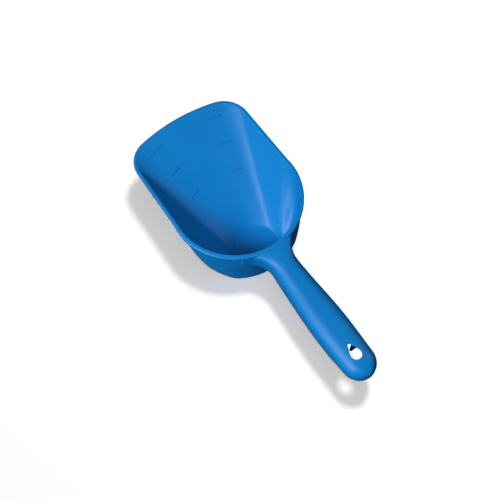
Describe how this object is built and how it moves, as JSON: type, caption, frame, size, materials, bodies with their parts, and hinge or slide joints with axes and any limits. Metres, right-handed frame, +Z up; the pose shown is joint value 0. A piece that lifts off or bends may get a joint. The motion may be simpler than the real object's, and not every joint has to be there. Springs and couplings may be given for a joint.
{
  "type": "feed scoop",
  "caption": "Plastic feed scoop: open, square-mouthed bowl with a ramped floor and flat round foot, and a hollow grip with a teardrop hang hole",
  "frame": {"origin": "centre of the underside of the flat round foot, on the surface that the scoop stands on", "axes": "+X toward the lip and -X toward the end of the grip, +Y to the left looking along +X, +Z up out of the bowl's mouth; symmetric about the plane Y = 0"},
  "size_m": [0.2455, 0.1024, 0.04],
  "materials": {
    "moulding": "semi-gloss blue polypropylene with a fine moulded texture"
  },
  "bodies": {
    "root": {"foot": "moulding", "bowl": "moulding", "rim_bead": "moulding", "neck": "moulding", "grip": "moulding", "cross_ribs": "moulding", "graduation_lines": "moulding"}
  },
  "joints": []
}
